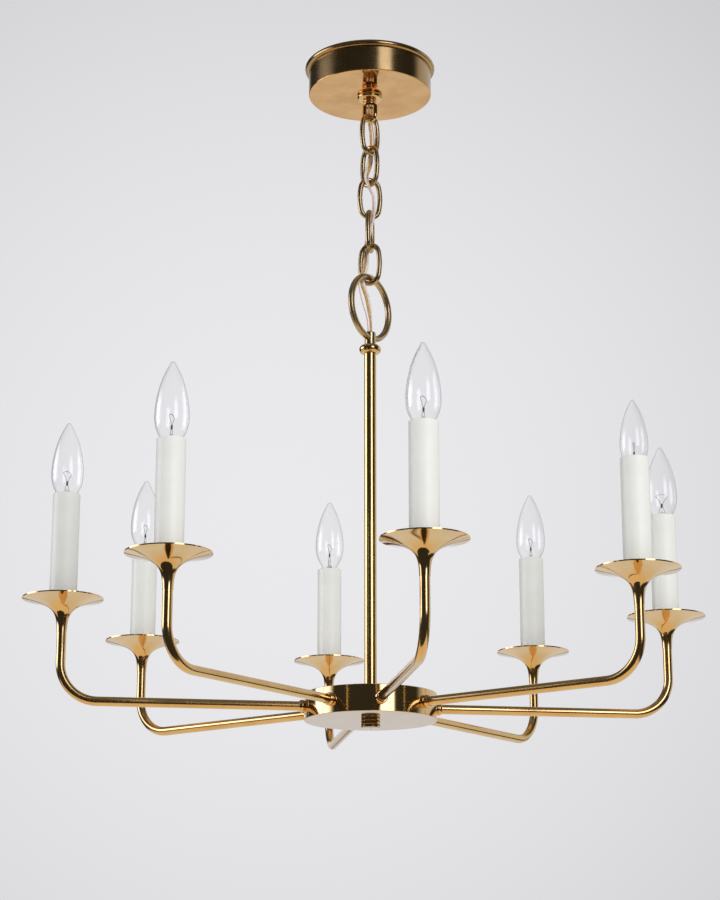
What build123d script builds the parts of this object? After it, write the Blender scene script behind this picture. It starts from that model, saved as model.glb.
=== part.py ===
from build123d import *
import math
import os

# An eight-arm candle chandelier that hangs on a chain from a ceiling canopy.
# Millimetres. The ceiling is z = 0, the stem axis is Z, and the front is -Y.

# Layout of the hanging frame
ARM_COUNT = 8
CANDLE_CIRCLE = 300.0
FRONT_ARM_ANGLE = -81.15
HUB_BOTTOM = -692.0
SHEET = 1.5
SLIP = 0.1

# Ceiling strap, nipple and lock nuts
STRAP_SIZE = (105.0, 20.0, 2.5)
SLOT_SPACING = 79.4
SLOT_LENGTH = 15.0
SLOT_WIDTH = 5.0
NIPPLE_RADIUS = 4.85
NIPPLE_BORE = 3.1
NIPPLE_BOTTOM = -34.0
NUT_FLATS = 14.0
NUT_HEIGHT = 4.0

# Canopy pan and collar ring
CANOPY_RADIUS = 64.1
CANOPY_DEPTH = 33.0
CANOPY_EDGE = 1.2
CANOPY_BEAD_RADIUS = 68.1
CANOPY_BEAD_HEIGHT = 6.2
COLLAR_RADIUS = 13.2
COLLAR_HEIGHT = 5.0
COLLAR_TOP_INSET = 0.8
COLLAR_BULGE_DROP = 2.2
COLLAR_FOOT_INSET = 2.4

# Canopy loop: threaded body, turned neck and stirrup
LOOP_TOP = -22.0
LOOP_THREAD_RADIUS = 8.2
LOOP_BORE = 3.4
LOOP_NECK_RADIUS = 5.6
LOOP_NECK_BEAD = 7.0
LOOP_SHOULDER = (8.3, -44.5, -46.5)
STIRRUP_WIRE = 4.7
STIRRUP_HALF_WIDTH = 6.35
STIRRUP_BOTTOM = -63.5
STIRRUP_TURN = -30.0

# Chain links: turn about Z, and the side that holds the butt gap
LINK_WIRE = 5.2
LINK_LENGTH = 46.8
LINK_WIDTH = 26.8
LINK_END_RADIUS = 9.6
LINK_GAP = 1.2
LINK_TURNS = (43.0, -46.0, 16.0, 78.0, -25.0)
LINK_GAP_SIDES = (1, 1, -1, 1, -1)
HANG_CLEARANCE = 0.3

# Stem loop, bead, tube and rod
RING_WIRE = 6.6
RING_OUTER_DIAMETER = 71.8
RING_TURN = 54.5
STUD_RADIUS = 5.65
STUD_ABOVE_RING_WIRE = 6.1
STUD_LENGTH = 17.2
STUD_CHAMFER = 1.0
STUD_WIREWAY = 3.2
BEAD_RADIUS = 11.2
BEAD_HEIGHT = 9.0
BEAD_OVERLAP = 3.2
BEAD_LIP = 1.2
STEM_RADIUS = 6.1
STEM_WALL = 1.0
ROD_RADIUS = 4.8
ROD_BORE = 3.0
ROD_END_GAP = 0.8
ROD_WINDOW = (5.0, 8.0)

# Hub
HUB_RADIUS = 64.65
HUB_HEIGHT = 26.0
HUB_WALL = 2.5
HUB_EDGE = 0.6
PLATE_THICKNESS = 2.0
HUB_NUT_FLATS = 17.0
HUB_NUT_HEIGHT = 5.0
KNOB_RADIUS = 9.3
KNOB_HEIGHT = 6.8
KNOB_FLOOR = 2.0
KNOB_EDGE = 0.3

# Arms
ARM_RADIUS = 4.6
ARM_WALL = 1.0
ARM_HEIGHT = 13.0
ARM_BEND = 36.0
ARM_INNER_END = 52.0
ARM_COLLAR_RADIUS = 6.3
ARM_COLLAR_LENGTH = 5.2
ARM_COLLAR_LIP = 0.6
LEAD_RADIUS = 1.5
LEAD_INNER_END = 40.0

# Bobeche: an exponential trumpet from the arm tube to a thin wide rim, dished on top
RIM_RADIUS = 39.1
RIM_HEIGHT = 111.0
RIM_THICKNESS = 1.1
FLARE_LENGTH = 6.2
FLARE_DEPTH = 32.0
FLARE_ROOT = 4.7
FLARE_POINTS = 9
DISH_DEPTH = 8.0
DISH_POINTS = 5

# Candle sleeve and socket
SLEEVE_RADIUS = 13.3
SLEEVE_BORE = 11.4
SLEEVE_TOP_HEIGHT = 215.3
SOCKET_RADIUS = 8.3
SOCKET_BORE = 6.2
SOCKET_TOP_DROP = 7.5
SOCKET_LENGTH = 26.0
SOCKET_FLOOR = 2.0
SOCKET_FOOT_RADIUS = 9.0
SOCKET_FOOT_HEIGHT = 8.0
SOCKET_FOOT_LEDGE = 2.0
BRACKET_WIDTH = 8.0
BRACKET_THICKNESS = 1.4

# Bulb glass as (radius, height above the sleeve's top): neck to widest point, crown, and a round tip
GLASS_NECK = ((7.2, -6.0), (13.2, 6.5), (15.8, 21.0))
GLASS_CROWN = ((15.8, 21.0), (13.8, 40.0), (8.7, 58.0))
GLASS_NECK_SLOPE = 0.35
GLASS_TOP = 72.6
GLASS_TIP_RADIUS = 2.7
GLASS_TIP_ANGLE = 27.0
GLASS_TIP_FLAT = 0.5
GLASS_WALL = 0.7

# Bulb's screw base and inner mount
BASE_RADIUS = 5.9
BASE_LENGTH = 19.0
BASE_CONTACT_HEIGHT = 3.0
BASE_COLLAR_HEIGHT = 0.6
MOUNT_FLARE = 4.6
MOUNT_FLARE_HEIGHT = 6.0
MOUNT_PRESS = 1.7
MOUNT_PRESS_HEIGHT = 5.0
WIRE_RADIUS = 0.3
WIRE_SPREAD = 6.2
WIRE_BURIED = 1.0
FILAMENT_HEIGHT = 20.5
FILAMENT_RISE = 1.5

# Bulbs that differ: one is smaller, and two sit lower or higher in their sleeves than the rest
SMALL_BULB_ARM = 2
SMALL_BULB_SCALE = 0.84
BULB_LIFTS = {SMALL_BULB_ARM: -5.0, 5: 6.0}

# Lamp cord and ground wire: radii, and routes from the nipple to the stud's top, chosen by hand
CORD_RADIUS = 1.8
CORD_ROUTE = (
    (-0.8, 0.0, -3.0),
    (-0.5, 0.0, -25.0),
    (-0.8, 0.0, -47.5),
    (-1.2, 8.5, -59.0),
    (1.5, 7.7, -76.7),
    (0.8, 8.7, -94.7),
    (-1.3, 0.4, -112.8),
    (-5.5, -7.5, -130.8),
    (4.5, -7.9, -148.9),
    (4.8, -6.8, -166.9),
    (0.7, 0.3, -185.0),
    (-4.1, 9.0, -203.0),
    (-2.4, 2.4, -221.1),
    (-9.7, -2.4, -239.1),
    (-2.4, -2.6, -258.0),
    (0.8, 0.0, -281.5),
    (0.8, 0.0, -294.8),
)
GROUND_RADIUS = 0.65
GROUND_ROUTE = (
    (2.1, 0.0, -3.0),
    (2.2, 0.3, -25.0),
    (2.1, 0.0, -47.5),
    (1.6, 8.9, -59.0),
    (4.7, 8.3, -76.7),
    (3.6, 9.1, -94.7),
    (1.8, 0.9, -112.8),
    (-3.4, -10.4, -130.8),
    (2.8, -10.7, -148.9),
    (2.8, -8.9, -166.9),
    (-2.3, -0.7, -185.0),
    (-7.0, 9.2, -203.0),
    (-5.2, 3.4, -221.1),
    (-13.0, -3.8, -239.1),
    (-8.6, -4.0, -262.0),
    (-2.1, 0.0, -281.5),
    (-2.1, 0.0, -294.8),
)
ROUTE_FILL = 0.45

# Worked-out heights
STIRRUP_SEAT = STIRRUP_BOTTOM + STIRRUP_WIRE
LINK_OPENING = LINK_LENGTH - 2 * LINK_WIRE
LINK_PITCH = LINK_OPENING - HANG_CLEARANCE
LINK_CENTRES = [
    STIRRUP_SEAT + HANG_CLEARANCE - LINK_OPENING / 2 - LINK_PITCH * i for i in range(len(LINK_TURNS))
]
LAST_SEAT = LINK_CENTRES[-1] - LINK_OPENING / 2
RING_RADIUS = (RING_OUTER_DIAMETER - RING_WIRE) / 2
RING_CENTRE = LAST_SEAT + HANG_CLEARANCE + RING_WIRE / 2 - RING_RADIUS
RING_FOOT = RING_CENTRE - RING_RADIUS
STUD_TOP = RING_FOOT + STUD_ABOVE_RING_WIRE
STUD_BOTTOM = STUD_TOP - STUD_LENGTH
BEAD_TOP = STUD_BOTTOM + BEAD_OVERLAP
BEAD_BOTTOM = BEAD_TOP - BEAD_HEIGHT
ROD_TOP = RING_FOOT - RING_WIRE / 2 - ROD_END_GAP
ROD_BOTTOM = HUB_BOTTOM - KNOB_HEIGHT + KNOB_FLOOR + ROD_END_GAP
HUB_TOP = HUB_BOTTOM + HUB_HEIGHT
ARM_AXIS = HUB_BOTTOM + ARM_HEIGHT
RIM = HUB_BOTTOM + RIM_HEIGHT
DISH_FLOOR = RIM + RIM_THICKNESS - DISH_DEPTH
SLEEVE_TOP = HUB_BOTTOM + SLEEVE_TOP_HEIGHT

# Helpers


def turned(*edges):
    """Solid of revolution about Z from a closed outline of (radius, height) edges."""
    return revolve(Plane.XZ * make_face(Curve() + list(edges)), Axis.Z)


def turned_polygon(*corners):
    """Solid of revolution about Z from straight-sided (radius, height) corners."""
    return revolve(Plane.XZ * make_face(Polyline(*corners, close=True)), Axis.Z)


def tube(outer, inner, bottom, top):
    """Upright tube on the Z axis."""
    return turned_polygon((inner, bottom), (outer, bottom), (outer, top), (inner, top))


def upright_bar(radius, bottom, top):
    """Solid round bar on the Z axis."""
    return Pos(0, 0, (bottom + top) / 2) * Cylinder(radius, top - bottom)


def hex_nut(flats, bore, height):
    """Hexagon nut on Z with its lower face at z = 0."""
    blank = extrude(RegularPolygon(flats / 2, 6, major_radius=False), height)
    return blank - Cylinder(bore, 3 * height)


def round_bar(path, radius):
    """Round bar or wire along a path."""
    start = Plane(origin=path @ 0, z_dir=path % 0)
    return sweep(start * Circle(radius), path=path)


def around(make):
    """Pieces made on +X, one for each arm number, turned to the arms' angles."""
    step = 360 / ARM_COUNT
    return [Rot(0, 0, FRONT_ARM_ANGLE + step * i) * make(i + 1) for i in range(ARM_COUNT)]


def at_candle(solid):
    """Move a piece made on the Z axis to the candle on +X."""
    return Pos(CANDLE_CIRCLE, 0, 0) * solid


# Ceiling strap, nipple, nuts, canopy and collar


def make_strap():
    """Steel cross bar with a threaded centre hole and one slot each side."""
    length, width, thickness = STRAP_SIZE
    bar = Pos(0, 0, -thickness / 2) * Box(length, width, thickness)
    bar = fillet(bar.edges().filter_by(Axis.Z), width / 4)
    slot = extrude(SlotOverall(SLOT_LENGTH, SLOT_WIDTH), 4 * thickness, both=True)
    for side in (-1, 1):
        bar -= Pos(side * SLOT_SPACING / 2, 0, 0) * slot
    return bar - Cylinder(NIPPLE_RADIUS + SLIP, 4 * thickness)


def make_strap_nuts():
    """One nut clamps the nipple to the strap and one locks the loop."""
    nut = hex_nut(NUT_FLATS, NIPPLE_RADIUS + SLIP, NUT_HEIGHT)
    return Compound([Pos(0, 0, -STRAP_SIZE[2] - NUT_HEIGHT) * nut, Pos(0, 0, LOOP_TOP) * nut])


def make_canopy():
    """Spun pan: flat face, upright wall and a half-round bead against the ceiling."""
    face = -CANOPY_DEPTH
    inner = CANOPY_RADIUS - SHEET
    hole = LOOP_THREAD_RADIUS + SLIP
    bead = CANOPY_BEAD_HEIGHT / 2
    bead_centre = CANOPY_BEAD_RADIUS - bead
    return turned(
        Line((hole, face), (CANOPY_RADIUS - CANOPY_EDGE, face)),
        CenterArc((CANOPY_RADIUS - CANOPY_EDGE, face + CANOPY_EDGE), CANOPY_EDGE, -90, 90),
        Polyline(
            (CANOPY_RADIUS, face + CANOPY_EDGE),
            (CANOPY_RADIUS, -CANOPY_BEAD_HEIGHT),
            (bead_centre, -CANOPY_BEAD_HEIGHT),
        ),
        CenterArc((bead_centre, -bead), bead, -90, 180),
        Polyline((bead_centre, 0), (inner, 0), (inner, face + SHEET), (hole, face + SHEET), (hole, face)),
    )


def make_collar():
    """Low domed ring nut under the canopy."""
    top = -CANOPY_DEPTH
    bottom = top - COLLAR_HEIGHT
    bore = LOOP_THREAD_RADIUS + SLIP
    shoulder = (COLLAR_RADIUS - COLLAR_TOP_INSET, top)
    bulge = (COLLAR_RADIUS, top - COLLAR_BULGE_DROP)
    foot = (COLLAR_RADIUS - COLLAR_FOOT_INSET, bottom)
    return turned(
        Polyline(foot, (bore, bottom), (bore, top), shoulder),
        ThreePointArc(shoulder, bulge, foot),
    )


def make_canopy_loop():
    """Threaded body, a neck of two turned beads, a shoulder and a wire stirrup."""
    shoulder_radius, shoulder_top, shoulder_bottom = LOOP_SHOULDER
    neck_top = -CANOPY_DEPTH - COLLAR_HEIGHT
    neck_middle = (neck_top + shoulder_top) / 2
    socket = NIPPLE_RADIUS + SLIP
    body = turned(
        ThreePointArc(
            (LOOP_NECK_RADIUS, neck_top),
            (LOOP_NECK_BEAD, (neck_top + neck_middle) / 2),
            (LOOP_NECK_RADIUS, neck_middle),
        ),
        ThreePointArc(
            (LOOP_NECK_RADIUS, neck_middle),
            (LOOP_NECK_BEAD, (neck_middle + shoulder_top) / 2),
            (LOOP_NECK_RADIUS, shoulder_top),
        ),
        Polyline(
            (LOOP_NECK_RADIUS, shoulder_top),
            (shoulder_radius, shoulder_top),
            (shoulder_radius, shoulder_bottom),
            (LOOP_BORE, shoulder_bottom),
            (LOOP_BORE, NIPPLE_BOTTOM),
            (socket, NIPPLE_BOTTOM),
            (socket, LOOP_TOP),
            (LOOP_THREAD_RADIUS, LOOP_TOP),
            (LOOP_THREAD_RADIUS, neck_top),
            (LOOP_NECK_RADIUS, neck_top),
        ),
    )
    half = STIRRUP_HALF_WIDTH
    bend = STIRRUP_BOTTOM + STIRRUP_WIRE / 2 + half
    root = (shoulder_top + shoulder_bottom) / 2
    path = Wire(
        [
            Line((-half, 0, root), (-half, 0, bend)),
            ThreePointArc((-half, 0, bend), (0, 0, bend - half), (half, 0, bend)),
            Line((half, 0, bend), (half, 0, root)),
        ]
    )
    return body + Rot(0, 0, STIRRUP_TURN) * round_bar(path, STIRRUP_WIRE / 2)


# Chain and cord


def make_link(centre, turn, gap_side):
    """Oval link of bent wire, open by a butt gap in the middle of one side."""
    half_length = (LINK_LENGTH - LINK_WIRE) / 2
    half_width = (LINK_WIDTH - LINK_WIRE) / 2
    end = LINK_END_RADIUS
    reach = half_length - end
    side = (reach**2 + half_width**2 - end**2) / (2 * (half_width - end))
    lean = math.atan2(reach, side - half_width)
    half_gap = math.asin(LINK_GAP / 2 / side)

    def on_side(sign, angle):
        return (sign * (half_width - side + side * math.cos(angle)), 0, side * math.sin(angle))

    top, bottom = (0, 0, half_length), (0, 0, -half_length)
    path = Wire(
        [
            ThreePointArc(on_side(1, half_gap), on_side(1, lean / 2), on_side(1, lean)),
            ThreePointArc(on_side(1, lean), top, on_side(-1, lean)),
            ThreePointArc(on_side(-1, lean), on_side(-1, 0), on_side(-1, -lean)),
            ThreePointArc(on_side(-1, -lean), bottom, on_side(1, -lean)),
            ThreePointArc(on_side(1, -lean), on_side(1, -lean / 2), on_side(1, -half_gap)),
        ]
    )
    flip = 0 if gap_side > 0 else 180
    return Pos(0, 0, centre) * Rot(0, 0, turn + flip) * round_bar(path, LINK_WIRE / 2)


def route_path(points):
    """Straight runs joined by the largest tangent arcs that the runs allow, and the arcs' radii."""
    knots = [Vector(*p) for p in points]
    radii = []
    for before, here, after in zip(knots, knots[1:], knots[2:]):
        turn = math.radians((here - before).get_angle(after - here))
        shorter = min((here - before).length, (after - here).length)
        radii.append(ROUTE_FILL * shorter / math.tan(turn / 2))
    return FilletPolyline(*points, radius=radii), radii


def make_cord(name, route, radius):
    """Round cord or wire threaded down the chain, from the nipple to the stem's stud."""
    path, radii = route_path(route)
    cord = round_bar(path, radius)
    expected = math.pi * radius**2 * path.length
    print(name, "radii", [round(r, 1) for r in radii])
    print(name, "length", round(path.length, 1), "volume ratio", round(cord.volume / expected, 4))
    return cord


# Stem


def make_stem_loop():
    """Large ring on a stud that is bored for the cord and threaded for the rod."""
    ring = Rot(90, 0, 0) * Torus(RING_RADIUS, RING_WIRE / 2)
    ring = Rot(0, 0, RING_TURN) * Pos(0, 0, RING_CENTRE) * ring
    stud = turned_polygon(
        (0, STUD_BOTTOM),
        (STUD_RADIUS, STUD_BOTTOM),
        (STUD_RADIUS, STUD_TOP - STUD_CHAMFER),
        (STUD_RADIUS - STUD_CHAMFER, STUD_TOP),
        (0, STUD_TOP),
    )
    thread = upright_bar(ROD_RADIUS + SLIP, STUD_BOTTOM, ROD_TOP)
    wireway = upright_bar(STUD_WIREWAY, ROD_TOP, STUD_TOP)
    return ring + stud - thread - wireway


def make_stem_bead():
    """Turned bead between stud and stem tube."""
    seat = ROD_RADIUS + SLIP
    cup = STUD_RADIUS + SLIP
    lip = STEM_RADIUS + BEAD_LIP
    return turned(
        ThreePointArc((lip, BEAD_BOTTOM), (BEAD_RADIUS, (BEAD_TOP + BEAD_BOTTOM) / 2), (lip, BEAD_TOP)),
        Polyline(
            (lip, BEAD_TOP),
            (cup, BEAD_TOP),
            (cup, STUD_BOTTOM),
            (seat, STUD_BOTTOM),
            (seat, BEAD_BOTTOM),
            (lip, BEAD_BOTTOM),
        ),
    )


def make_stem_rod():
    """Threaded pipe that clamps loop, bead, tube, hub and knob; a window lets the lead out in the hub."""
    width, height = ROD_WINDOW
    window = Pos(0, ROD_RADIUS, ARM_AXIS) * Box(width, 2 * ROD_RADIUS, height)
    return tube(ROD_RADIUS, ROD_BORE, ROD_BOTTOM, ROD_TOP) - window


def make_stem_leads():
    """Straight runs of the cord and the ground wire inside the stem."""
    leads = []
    for route, radius in ((CORD_ROUTE, CORD_RADIUS), (GROUND_ROUTE, GROUND_RADIUS)):
        x, y, _ = route[-1]
        leads.append(Pos(x, y, 0) * upright_bar(radius, ARM_AXIS, STUD_TOP))
    return Compound(leads)


# Hub


def make_hub_drum():
    """Round cup, open below, with the stem's hole in its top and the arms' holes in its wall."""
    floor = HUB_BOTTOM + PLATE_THICKNESS
    inner = HUB_RADIUS - HUB_WALL
    bore = ROD_RADIUS + SLIP
    drum = turned(
        Line((HUB_RADIUS, floor), (HUB_RADIUS, HUB_TOP - HUB_EDGE)),
        CenterArc((HUB_RADIUS - HUB_EDGE, HUB_TOP - HUB_EDGE), HUB_EDGE, 0, 90),
        Polyline(
            (HUB_RADIUS - HUB_EDGE, HUB_TOP),
            (bore, HUB_TOP),
            (bore, HUB_TOP - HUB_WALL),
            (inner, HUB_TOP - HUB_WALL),
            (inner, floor),
            (HUB_RADIUS, floor),
        ),
    )
    hole = Pos(HUB_RADIUS, 0, ARM_AXIS) * Rot(0, 90, 0) * Cylinder(ARM_RADIUS + SLIP, 6 * HUB_WALL)
    for copy in around(lambda _: hole):
        drum -= copy
    return drum


def make_hub_plate():
    """Polished bottom disc with a spigot that centres it in the drum."""
    top = HUB_BOTTOM + PLATE_THICKNESS
    spigot = HUB_RADIUS - HUB_WALL - SLIP
    bore = ROD_RADIUS + SLIP
    return turned(
        Line((bore, HUB_BOTTOM), (HUB_RADIUS - HUB_EDGE, HUB_BOTTOM)),
        CenterArc((HUB_RADIUS - HUB_EDGE, HUB_BOTTOM + HUB_EDGE), HUB_EDGE, -90, 90),
        Polyline(
            (HUB_RADIUS, HUB_BOTTOM + HUB_EDGE),
            (HUB_RADIUS, top),
            (spigot, top),
            (spigot, top + PLATE_THICKNESS),
            (bore, top + PLATE_THICKNESS),
            (bore, HUB_BOTTOM),
        ),
    )


def make_hub_nut():
    """Nut on the rod, under the drum's top."""
    nut = hex_nut(HUB_NUT_FLATS, ROD_RADIUS + SLIP, HUB_NUT_HEIGHT)
    return Pos(0, 0, HUB_TOP - HUB_WALL - HUB_NUT_HEIGHT) * nut


def make_hub_knob():
    """Plain round cap nut that holds the bottom plate."""
    bottom = HUB_BOTTOM - KNOB_HEIGHT
    knob = upright_bar(KNOB_RADIUS, bottom, HUB_BOTTOM)
    knob = fillet(knob.edges().filter_by(GeomType.CIRCLE), KNOB_EDGE)
    return knob - upright_bar(ROD_RADIUS + SLIP, bottom + KNOB_FLOOR, HUB_BOTTOM)


# Arms


def arm_path(inner_end, top):
    """Level run, quarter bend and rise of one arm, on +X."""
    corner = CANDLE_CIRCLE - ARM_BEND
    rise = ARM_AXIS + ARM_BEND
    middle = ARM_BEND * math.sqrt(0.5)
    return Wire(
        [
            Line((inner_end, 0, ARM_AXIS), (corner, 0, ARM_AXIS)),
            ThreePointArc(
                (corner, 0, ARM_AXIS), (corner + middle, 0, rise - middle), (CANDLE_CIRCLE, 0, rise)
            ),
            Line((CANDLE_CIRCLE, 0, rise), (CANDLE_CIRCLE, 0, top)),
        ]
    )


def make_arm(_):
    """Bent tube from inside the hub to the socket's foot."""
    path = arm_path(ARM_INNER_END, DISH_FLOOR + SOCKET_FOOT_HEIGHT - SOCKET_FOOT_LEDGE)
    return round_bar(path, ARM_RADIUS) - round_bar(path, ARM_RADIUS - ARM_WALL)


def make_arm_collar(_):
    """Rounded ring where an arm meets the hub wall."""
    bore = ARM_RADIUS + SLIP / 2
    lip = ARM_RADIUS + ARM_COLLAR_LIP
    ring = turned(
        ThreePointArc((lip, 0), (ARM_COLLAR_RADIUS, ARM_COLLAR_LENGTH / 2), (lip, ARM_COLLAR_LENGTH)),
        Polyline((lip, ARM_COLLAR_LENGTH), (bore, ARM_COLLAR_LENGTH), (bore, 0), (lip, 0)),
    )
    return Pos(HUB_RADIUS, 0, ARM_AXIS) * Rot(0, 90, 0) * ring


def make_arm_nut(_):
    """Hexagon nut on an arm's threaded end, inside the hub wall."""
    nut = hex_nut(NUT_FLATS, ARM_RADIUS + SLIP / 2, NUT_HEIGHT)
    corner = NUT_FLATS / math.sqrt(3)
    inner = HUB_RADIUS - HUB_WALL
    seat = math.sqrt(inner**2 - corner**2)
    return Pos(seat - NUT_HEIGHT, 0, ARM_AXIS) * Rot(0, 90, 0) * nut


def make_arm_lead(arm):
    """Twin lead, drawn as one round lead, from the hub through the arm to the socket."""
    return round_bar(arm_path(LEAD_INNER_END, socket_bottom(arm)), LEAD_RADIUS)


def flare_points(depth, count, lift):
    """Points on the trumpet's curve, from the rim down to a depth below it."""
    depths = [depth * i / (count - 1) for i in range(count)]
    swell = RIM_RADIUS - FLARE_ROOT
    return [(FLARE_ROOT + swell * math.exp(-d / FLARE_LENGTH), RIM + lift - d) for d in depths]


def make_bobeche(_):
    """Trumpet with a dished top, bored for the arm tube."""
    bore = ARM_RADIUS + SLIP / 2
    under = flare_points(FLARE_DEPTH, FLARE_POINTS, 0)
    dish = flare_points(DISH_DEPTH, DISH_POINTS, RIM_THICKNESS)
    foot_height = under[-1][1]
    return at_candle(
        turned(
            Spline(*under),
            Polyline(under[-1], (bore, foot_height), (bore, DISH_FLOOR), dish[-1]),
            Spline(*reversed(dish)),
            Line(dish[0], under[0]),
        )
    )


# Candles and bulbs


def bulb_scale(arm):
    """Size of an arm's bulb: one bulb is smaller than the rest."""
    return SMALL_BULB_SCALE if arm == SMALL_BULB_ARM else 1.0


def bulb_seat(arm):
    """Height from which an arm's bulb outline is measured."""
    return SLEEVE_TOP + BULB_LIFTS.get(arm, 0.0)


def socket_bottom(arm):
    """Height of the underside of an arm's socket."""
    return bulb_seat(arm) - SOCKET_TOP_DROP - SOCKET_LENGTH


def make_sleeve(_):
    """Candle sleeve that stands in the bobeche's dish."""
    return at_candle(tube(SLEEVE_RADIUS, SLEEVE_BORE, DISH_FLOOR, SLEEVE_TOP))


def make_socket(arm):
    """Screw socket on a strip bracket whose foot holds the arm's end."""
    bottom = socket_bottom(arm)
    top = bottom + SOCKET_LENGTH
    shell = upright_bar(SOCKET_RADIUS, bottom, top)
    foot = tube(SOCKET_FOOT_RADIUS, ARM_RADIUS + SLIP / 2, DISH_FLOOR, DISH_FLOOR + SOCKET_FOOT_HEIGHT)
    strip_height = bottom + SOCKET_LENGTH / 2 - DISH_FLOOR
    strip = Box(BRACKET_WIDTH, BRACKET_THICKNESS, strip_height)
    bracket = Pos(0, SOCKET_RADIUS - BRACKET_THICKNESS / 2, DISH_FLOOR + strip_height / 2) * strip
    bore = upright_bar(SOCKET_BORE, bottom + SOCKET_FLOOR, top)
    return at_candle(shell + foot + bracket - bore)


def glass_face(arm, inset):
    """Neck, crown and tip edges of a bulb's outer face, or of its inner face at an inset."""
    scale = bulb_scale(arm)
    seat = bulb_seat(arm)
    tip = GLASS_TIP_RADIUS * scale - inset
    centre = seat + (GLASS_TOP - GLASS_TIP_RADIUS) * scale
    lean = math.radians(GLASS_TIP_ANGLE)
    sweep_angle = math.degrees(math.acos(GLASS_TIP_FLAT / tip)) - GLASS_TIP_ANGLE
    neck = [(r * scale - inset, seat + h * scale) for r, h in GLASS_NECK]
    crown = [(r * scale - inset, seat + h * scale) for r, h in GLASS_CROWN]
    crown.append((tip * math.cos(lean), centre + tip * math.sin(lean)))
    return (
        Spline(*neck, tangents=((GLASS_NECK_SLOPE, 1), (0, 1))),
        Spline(*crown, tangents=((0, 1), (-math.sin(lean), math.cos(lean)))),
        CenterArc((0, centre), tip, GLASS_TIP_ANGLE, sweep_angle),
    )


def make_glass(arm):
    """Clear torpedo envelope with a round tip, open at the neck."""
    outer = glass_face(arm, 0)
    inner = glass_face(arm, GLASS_WALL)
    outer_tip, inner_tip = outer[-1] @ 1, inner[-1] @ 1
    return at_candle(
        turned(
            *outer,
            Polyline(outer_tip, (0, outer_tip.Y), (0, inner_tip.Y), inner_tip),
            *inner,
            Line(inner[0] @ 0, outer[0] @ 0),
        )
    )


def make_bulb_base(arm):
    """Screw base under the glass, with its centre contact."""
    scale = bulb_scale(arm)
    top = bulb_seat(arm) + GLASS_NECK[0][1] * scale
    neck = GLASS_NECK[0][0] * scale
    bottom = top - BASE_LENGTH
    return at_candle(
        turned_polygon(
            (0, bottom),
            (BASE_RADIUS / 2, bottom),
            (BASE_RADIUS, bottom + BASE_CONTACT_HEIGHT),
            (BASE_RADIUS, top - 2 * BASE_COLLAR_HEIGHT),
            (neck, top - BASE_COLLAR_HEIGHT),
            (neck, top),
            (0, top),
        )
    )


def make_bulb_mount(arm):
    """Glass flare and press with two lead wires and the filament between them."""
    scale = bulb_scale(arm)
    seat = bulb_seat(arm)
    foot = seat + GLASS_NECK[0][1] * scale
    press = seat + MOUNT_PRESS_HEIGHT * scale
    tip = seat + FILAMENT_HEIGHT * scale
    spread = WIRE_SPREAD * scale
    root = MOUNT_PRESS / 2
    mount = turned_polygon(
        (0, foot),
        (MOUNT_FLARE * scale, foot),
        (MOUNT_PRESS, foot + MOUNT_FLARE_HEIGHT),
        (MOUNT_PRESS, press),
        (0, press),
    )
    for side in (-1, 1):
        support = Line((side * root, 0, press - WIRE_BURIED), (side * spread, 0, tip))
        mount += round_bar(support, WIRE_RADIUS)
    filament = ThreePointArc((-spread, 0, tip), (0, 0, tip + FILAMENT_RISE), (spread, 0, tip))
    return at_candle(mount + round_bar(filament, WIRE_RADIUS))


# Every piece by its node name

pieces = {
    "mounting_strap": make_strap(),
    "strap_nuts": make_strap_nuts(),
    "canopy_nipple": tube(NIPPLE_RADIUS, NIPPLE_BORE, NIPPLE_BOTTOM, 0),
    "canopy": make_canopy(),
    "collar_ring": make_collar(),
    "canopy_loop": make_canopy_loop(),
    "lamp_cord": make_cord("lamp cord", CORD_ROUTE, CORD_RADIUS),
    "ground_wire": make_cord("ground wire", GROUND_ROUTE, GROUND_RADIUS),
    "stem_loop": make_stem_loop(),
    "stem_bead": make_stem_bead(),
    "stem_tube": tube(STEM_RADIUS, STEM_RADIUS - STEM_WALL, HUB_TOP, BEAD_BOTTOM),
    "stem_rod": make_stem_rod(),
    "stem_leads": make_stem_leads(),
    "hub_drum": make_hub_drum(),
    "hub_plate": make_hub_plate(),
    "hub_nut": make_hub_nut(),
    "hub_knob": make_hub_knob(),
}
for i, places in enumerate(zip(LINK_CENTRES, LINK_TURNS, LINK_GAP_SIDES), start=1):
    pieces[f"chain_link_{i}"] = make_link(*places)
for name, make in (
    ("arm", make_arm),
    ("bobeche", make_bobeche),
    ("candle_sleeve", make_sleeve),
    ("bulb", make_glass),
):
    for i, solid in enumerate(around(make), start=1):
        pieces[f"{name}_{i}"] = solid
for name, make in (
    ("arm_collars", make_arm_collar),
    ("arm_nuts", make_arm_nut),
    ("arm_leads", make_arm_lead),
    ("candle_sockets", make_socket),
    ("bulb_bases", make_bulb_base),
    ("bulb_mounts", make_bulb_mount),
):
    pieces[name] = Compound(around(make))

os.makedirs("parts", exist_ok=True)
for name, solid in pieces.items():
    export_step(solid, f"parts/{name}.step")
print(len(pieces), "pieces; link centres", [round(z, 2) for z in LINK_CENTRES])
print("ring centre", round(RING_CENTRE, 2), "stud top", round(STUD_TOP, 2), "bead", round(BEAD_BOTTOM, 2))
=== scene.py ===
# %% [markdown]
# # An eight-arm brass candle chandelier
# The chandelier hangs on a short chain from a round canopy. Its construction comes ready made: every tube,
# ring, link and trumpet is already at its real size, each as its own object. This lesson dresses that
# frame: cords, candles, glass bulbs, polished brass, a studio and a camera. Metres, with the ceiling at z =
# 0 and the front at -Y.

# %% Load the frame
import math

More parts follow.
